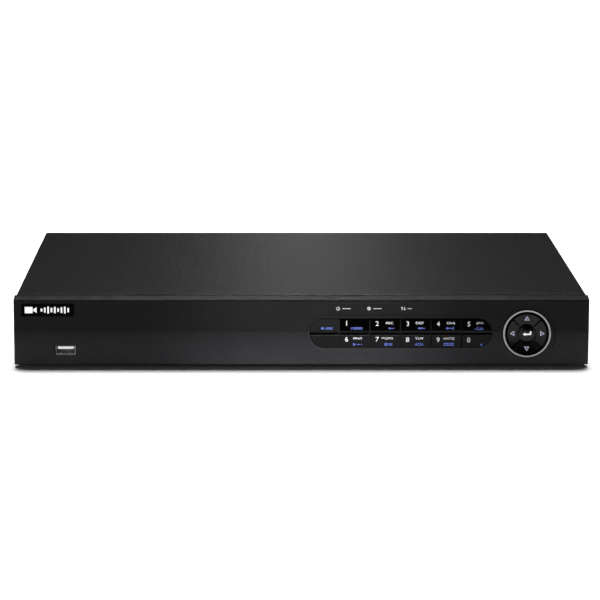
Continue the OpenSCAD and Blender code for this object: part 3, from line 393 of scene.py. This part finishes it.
class Sign:
    """Flat marks drawn in millimetres in x and z, then laid onto a CAD node's front."""

    def __init__(self):
        self.mesh = bmesh.new()

    def outline(self, points):
        self.mesh.faces.new([self.mesh.verts.new((x, 0, z)) for x, z in points])
        return self

    def bar(self, x, z, width, height):
        half_w, half_h = width / 2, height / 2
        return self.outline([(x - half_w, z - half_h), (x + half_w, z - half_h),
                             (x + half_w, z + half_h), (x - half_w, z + half_h)])

    def disc(self, x, z, radius, sides=20):
        return self.outline([(x + dx, z + dz) for dx, dz in circle(radius, sides)])

    def arc(self, x, z, radius, thick, start=0, stop=360):
        """Ring or part of a ring, angles in degrees from +x."""
        steps = max(2, round(ARC_STEPS * (stop - start) / 360))
        for i in range(steps):
            a, b = (math.radians(start + (stop - start) * k / steps) for k in (i, i + 1))
            ring = (radius, a), (radius, b), (radius - thick, b), (radius - thick, a)
            self.outline([(x + r * math.cos(t), z + r * math.sin(t)) for r, t in ring])
        return self

    def frame_of(self, points, thick):
        """Closed outline drawn as a band of the given thickness, inside the points."""
        centre = sum((Vector(p) for p in points), Vector((0, 0))) / len(points)
        count = len(points)
        inner = []
        for i in range(count):
            here, before, after = (Vector(points[(i + k) % count]) for k in (0, -1, 1))
            first, second = (here - before).normalized(), (after - here).normalized()
            normals = [Vector((-edge.y, edge.x)) for edge in (first, second)]
            normals = [n if n.dot(centre - here) > 0 else -n for n in normals]
            inward = (normals[0] + normals[1]).normalized()
            inner.append(here + inward * thick / max(0.3, inward.dot(normals[0])))
        for i in range(count):
            k = (i + 1) % count
            self.outline([points[i], points[k], tuple(inner[k]), tuple(inner[i])])
        return self

    def text(self, body, x, z, height, width=None):
        """Bold digits or letters centred on x and z, scaled to a height and, if given, a width."""
        curve = bpy.data.curves.new("letters", "FONT")
        curve.body = body
        curve.offset = BOLD
        curve.resolution_u = 3
        holder = add_object("letters", curve)
        bpy.context.view_layer.update()
        flat = bpy.data.meshes.new_from_object(holder)
        low = Vector((min(v.co.x for v in flat.vertices), min(v.co.y for v in flat.vertices)))
        high = Vector((max(v.co.x for v in flat.vertices), max(v.co.y for v in flat.vertices)))
        size = height / (high.y - low.y)
        size_x = width / (high.x - low.x) if width else size
        middle = (low + high) / 2
        for v in flat.vertices:
            v.co = (x + (v.co.x - middle.x) * size_x, 0, z + (v.co.y - middle.y) * size)
        self.mesh.from_mesh(flat)
        bpy.data.objects.remove(holder)
        bpy.data.curves.remove(curve)
        bpy.data.meshes.remove(flat)
        return self

    def lay(self, name, node, body, material, slot, cuts=0):
        """Puts the marks on the front of a node and makes them a piece that rides on body.

        cuts divides every edge first, so that the marks follow a curved front."""
        target = frame["nodes"][node].data
        tree = BVHTree.FromPolygons([v.co for v in target.vertices],
                                    [tuple(p.vertices) for p in target.polygons])
        mesh = self.mesh
        if cuts:
            bmesh.ops.subdivide_edges(mesh, edges=mesh.edges, cuts=cuts, use_grid_fill=True)
            bmesh.ops.triangulate(mesh, faces=mesh.faces)
        bmesh.ops.scale(mesh, vec=(MM, MM, MM), verts=mesh.verts)
        start_y = CAD_BOX[0][1] - 0.01
        for vertex in mesh.verts:
            hit = tree.ray_cast(Vector((vertex.co.x, start_y, vertex.co.z)), Vector((0, 1, 0)))[0]
            vertex.co.y = hit.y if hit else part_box(node)[0].y
        bmesh.ops.recalc_face_normals(mesh, faces=mesh.faces)
        for face in mesh.faces:
            face.normal_update()
            if face.normal.y > 0:
                face.normal_flip()
        sunk = list(mesh.verts)
        result = bmesh.ops.extrude_face_region(mesh, geom=list(mesh.faces))
        raised = [g for g in result["geom"] if isinstance(g, bmesh.types.BMVert)]
        for vertex in raised:
            vertex.co.y -= INK_THICK
        for vertex in sunk:
            if vertex.is_valid:
                vertex.co.y += INK_SUNK
        data = bpy.data.meshes.new(name)
        mesh.to_mesh(data)
        mesh.free()
        data.materials.append(material)
        piece = add_object(name, data)
        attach(piece, body)


# Keypad prints in millimetres: left edge of the first column, distance to the next, digit's
# offset from the left edge, height of the letters, and how far each column's digit sinks
FIRST_LEFT = 25.0
PITCH = 20.22
DIGIT_DX = 4.7
LETTER_H = 1.6
FALL = 0.13
# Upper and lower row: heights of the prints' middles, digit's height, width of one letter
ROWS = (
    {"digit": 29.65, "digit_h": 3.2, "letters": 29.95, "letter_w": 1.75, "sign": 26.3},
    {"digit": 18.9, "digit_h": 3.4, "letters": 19.5, "letter_w": 1.9, "sign": 15.35},
)


# Neutral signs on the keys, each drawn around x and z in millimetres

def sign_menu(s, x, z):
    for i in (-1, 0, 1):
        s.bar(x + 0.6, z + 0.6 * i, 6.6, 0.3)
        s.disc(x - 3.6, z + 0.6 * i, 0.22, 10)


def sign_one(s, x, z):
    s.disc(x - 1.1, z, 0.62).bar(x + 0.8, z, 1.9, 0.5)


def sign_two(s, x, z):
    s.disc(x - 1.4, z, 0.62).disc(x + 0.1, z, 0.62).bar(x + 1.8, z, 1.5, 0.5)


def sign_back(s, x, z):
    s.outline([(x - 2.8, z), (x - 1.3, z + 1.05), (x - 1.3, z - 1.05)])
    s.bar(x + 0.2, z, 3.2, 0.55).bar(x + 2.3, z, 0.55, 2.0)


def sign_edit(s, x, z):
    s.outline([(x - 3, z - 1), (x - 2.1, z - 0.7), (x + 0.2, z + 1.05), (x - 0.4, z + 1.05)])
    s.bar(x + 0.9, z - 0.85, 4.2, 0.42).bar(x + 1.8, z + 0.1, 2.4, 0.42)


def sign_play(s, x, z):
    s.outline([(x - 2.9, z - 1.1), (x - 0.9, z), (x - 2.9, z + 1.1)])
    s.bar(x + 0.7, z, 1.9, 0.5).bar(x + 2.8, z, 0.9, 0.5)


def sign_record(s, x, z):
    s.arc(x - 1.6, z, 1.1, 0.36).disc(x - 1.6, z, 0.5)
    s.bar(x + 1.3, z + 0.45, 2.8, 0.42).bar(x + 1.3, z - 0.45, 2.8, 0.42)


def sign_steer(s, x, z):
    s.outline([(x - 2.9, z), (x - 1.6, z + 0.95), (x - 1.6, z - 0.95)])
    s.outline([(x + 2.9, z), (x + 1.6, z - 0.95), (x + 1.6, z + 0.95)])
    s.arc(x, z, 1.05, 0.4)


def sign_grid(s, x, z):
    for i in range(4):
        for k in (-0.6, 0.6):
            s.bar(x - 2.7 + 1.8 * i, z + k, 1.4, 0.8)


def sign_drop(s, x, z):
    s.outline([(x - 0.9, z - 0.9), (x + 0.9, z - 0.9), (x, z + 1.0)])


def sign_shift(s, x, z):
    s.outline([(x - 4.1, z), (x - 2.7, z + 0.9), (x - 1.3, z)])
    s.bar(x - 2.7, z - 0.4, 1.1, 0.8)
    s.bar(x + 1.6, z + 0.4, 4.8, 0.4).bar(x + 1.6, z - 0.4, 4.8, 0.4)


# Node, column, row, digit, letter group, letters' offset, sign and its offset
KEYS = [
    ("key_1", 0, 0, "1", "", 0, sign_menu, 11.4),
    ("key_2", 1, 0, "2", "ABC", 12.7, sign_one, 14.0),
    ("key_3", 2, 0, "3", "DEF", 12.7, sign_two, 13.6),
    ("key_4", 3, 0, "4", "GHI", 12.9, sign_back, 12.4),
    ("key_5", 4, 0, "5", "JKL", 12.2, sign_edit, 11.2),
    ("key_6", 0, 1, "6", "MNO", 12.1, sign_play, 11.9),
    ("key_7", 1, 1, "7", "PQRS", 11.6, sign_record, 12.2),
    ("key_8", 2, 1, "8", "TUV", 12.4, sign_steer, 12.4),
    ("key_9", 3, 1, "9", "WXYZ", 11.7, sign_grid, 11.7),
    ("key_0", 4, 1, "0", "", 0, sign_drop, 13.2),
]


def print_keypad(ink, sign_ink):
    """Digit, letters and sign of every keypad key."""
    for node, column, row, digit, letters, letters_dx, draw, sign_dx in KEYS:
        left = FIRST_LEFT + PITCH * column
        place = ROWS[row]
        fall = FALL * column
        marks = Sign().text(digit, left + DIGIT_DX, place["digit"] - fall, place["digit_h"])
        marks.lay(node + "_digit", node, node, ink, "white_plastic")
        if letters:
            marks = Sign().text(letters, left + letters_dx, place["letters"] - fall / 2, LETTER_H,
                                width=place["letter_w"] * len(letters))
            marks.lay(node + "_letters", node, node, ink, "white_plastic")
        marks = Sign()
        draw(marks, left + sign_dx, place["sign"])
        marks.lay(node + "_sign", node, node, sign_ink, "socket_blue")
    marks = Sign()
    sign_shift(marks, 16.5, 26.2)
    marks.lay("key_shift_sign", "key_shift", "key_shift", sign_ink, "socket_blue")


# Centre of the arrow pad, in millimetres
ARROW_X = 149.1
ARROW_Z = 22.75
# Each arrow key's sign: turn in degrees and distance from the centre
ARROWS = (("key_up", 0, 10.2), ("key_right", -90, 10.2), ("key_down", 180, 10.3),
          ("key_left", 90, 9.8))


def print_arrow_pad(ink, arrow_ink):
    """Hollow triangles on the four arrow keys and a return arrow on the centre key."""
    for node, turn, distance in ARROWS:
        a = math.radians(turn)
        points = []
        for x, z in ((-1.7, -1.4), (1.7, -1.4), (0, 1.5)):
            z += distance
            points.append((ARROW_X + x * math.cos(a) - z * math.sin(a),
                           ARROW_Z + x * math.sin(a) + z * math.cos(a)))
        Sign().frame_of(points, 0.45).lay(node + "_arrow", node, node, arrow_ink, "white_plastic")
    enter = Sign()
    enter.outline([(ARROW_X - 2.9, ARROW_Z - 0.35), (ARROW_X - 1.1, ARROW_Z + 0.8),
                   (ARROW_X - 1.1, ARROW_Z - 1.5)])
    enter.bar(ARROW_X + 0.6, ARROW_Z - 0.35, 3.4, 0.9)
    enter.bar(ARROW_X + 2.35, ARROW_Z + 0.4, 0.9, 2.4)
    enter.lay("key_enter_sign", "key_enter", "key_enter", ink, "white_plastic", cuts=7)


def print_window(ink):
    """Neutral signs for power, activity and network beside the three status lights."""
    z = 39.85
    stroke, radius = 0.34, 1.15
    marks = Sign()
    # Power: broken ring with a bar in its gap
    marks.arc(24.0, z - 0.05, radius, stroke, 125, 415).bar(24.0, z + 0.7, stroke, 1.3)
    # Activity: ring with a dot
    marks.arc(44.4, z, radius, stroke).disc(44.4, z, 0.45)
    # Network: an arrow up and one down
    for x, up in ((66.2, 1), (67.9, -1)):
        marks.bar(x, z - 0.35 * up, stroke, 1.5)
        marks.outline([(x - 0.75, z + 0.3 * up), (x + 0.75, z + 0.3 * up), (x, z + 1.25 * up)])
    # Dashes that lead to the lights
    for x, length in ((29.6, 5.4), (50.0, 5.4), (71.2, 2.6)):
        marks.bar(x, z - 0.05, length, stroke)
    marks.lay("window_signs", "led_window", "root", ink, "white_plastic")


def print_plate(ink):
    """A plain camera sign and a row of bars in place of any name."""
    z = 38.9
    marks = Sign()
    marks.bar(-180.0, z, 5.2, 4.2)
    marks.outline([(-177.0, z - 0.6), (-174.8, z - 1.9), (-174.8, z + 1.9), (-177.0, z + 0.6)])
    for i, height in enumerate((2.0, 3.4, 4.6, 3.0, 4.2, 2.4, 3.8, 4.6, 2.8)):
        marks.bar(-171.6 + 2.2 * i, z, 1.1, height)
    marks.lay("plate_signs", "name_plate", "root", ink, "white_plastic")


# ---------------------------------------------------------------- added pieces

# Rear sound sockets, in millimetres: distance of their axes from the block's sides, and the
# height of each row with its colour
SOUND_INSET = 6
SOUND_ROWS = ((19.3, "cable_red"), (34.3, "white_plastic"))
# Ring's section as (radius, depth behind the block's rear face), in millimetres
RING_SECTION = ((1.7, 1.42), (1.7, 1.1), (3.5, 1.1), (3.5, 1.42))
RING_SIDES = 36


def sound_rings(materials):
    """Red and white insulating rings in the mouths of the rear sound sockets."""
    low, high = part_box("rca_sockets")
    faces = []
    for loop in range(len(RING_SECTION)):
        here, there = (k % len(RING_SECTION) * RING_SIDES for k in (loop, loop + 1))
        for i in range(RING_SIDES):
            after = (i + 1) % RING_SIDES
            faces.append((here + i, there + i, there + after, here + after))
    for column, x in enumerate((low.x + SOUND_INSET * MM, high.x - SOUND_INSET * MM)):
        for z, slot in SOUND_ROWS:
            corners = [(x + dx, high.y - depth * MM, z * MM + dz)
                       for radius, depth in RING_SECTION
                       for dx, dz in circle(radius * MM, RING_SIDES)]
            piece = mesh_object(f"sound_ring_{column}_{slot}", corners, faces, materials[slot])
            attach(piece, "root")


# ---------------------------------------------------------------- floor and backdrop

def make_floor():
    """White paper under the case."""
    paper = surface("floor_paper", (0.86, 0.86, 0.86), 0.9, specular=0.0, tint=0.003,
                    tint_size=0.5, rough_spread=0.02)
    corners = [(x * FLOOR_HALF, y * FLOOR_HALF, 0) for x, y in ((-1, -1), (1, -1), (1, 1), (-1, 1))]
    floor = mesh_object("floor", corners, [(0, 1, 2, 3)], paper)


def make_backdrop():
    """Pale wall far around the floor, which casts no light on the product."""
    paper = surface("backdrop_paper", (0.9, 0.9, 0.9), 0.9, specular=0.0, tint=0.01, tint_size=2.0)
    shader = paper.node_tree.nodes["Principled BSDF"]
    shader.inputs["Emission Color"].default_value = (1, 1, 1, 1)
    shader.inputs["Emission Strength"].default_value = 1.0
    paper.cycles.emission_sampling = "NONE"
    around = circle(BACKDROP_RADIUS, BACKDROP_SIDES)
    corners = [(x, y, z) for x, y in around for z in (-0.01, BACKDROP_HEIGHT)]
    faces = [(2 * i, 2 * after, 2 * after + 1, 2 * i + 1)
             for i, after in enumerate([*range(1, len(around)), 0])]
    backdrop = mesh_object("backdrop", corners, faces, paper)
    backdrop.visible_diffuse = False
    backdrop.visible_glossy = False
    backdrop.visible_shadow = False


def main():
    scene.view_settings.view_transform = "Standard"
    make_camera()
    product, spot, bezel, cover = make_lights()
    make_backdrop()
    make_floor()
    materials = make_materials()
    dress_cad_nodes(materials)
    white = legend_material("print_white", (0.72, 0.72, 0.72))
    grey = legend_material("print_grey", (0.42, 0.42, 0.43))
    dim = legend_material("print_dim", (0.32, 0.32, 0.33))
    blue = legend_material("print_blue", (0.040, 0.065, 0.27))
    pale = legend_material("print_pale", (0.34, 0.34, 0.46))
    print_keypad(grey, blue)
    print_arrow_pad(white, pale)
    print_window(dim)
    print_plate(white)
    sound_rings(materials)
    pieces = [item for item in scene.objects
              if item.type == "MESH" and item.name not in GLOSSY_KEYS | {"floor", "backdrop"}]
    flag("product", product, pieces)
    flag("spot_pieces", spot, [piece for piece in pieces if piece.name != "top_cover"])
    flag("bezel_only", bezel, [frame["nodes"]["front_bezel"]])
    flag("cover_only", cover, [frame["nodes"]["top_cover"]])


main()
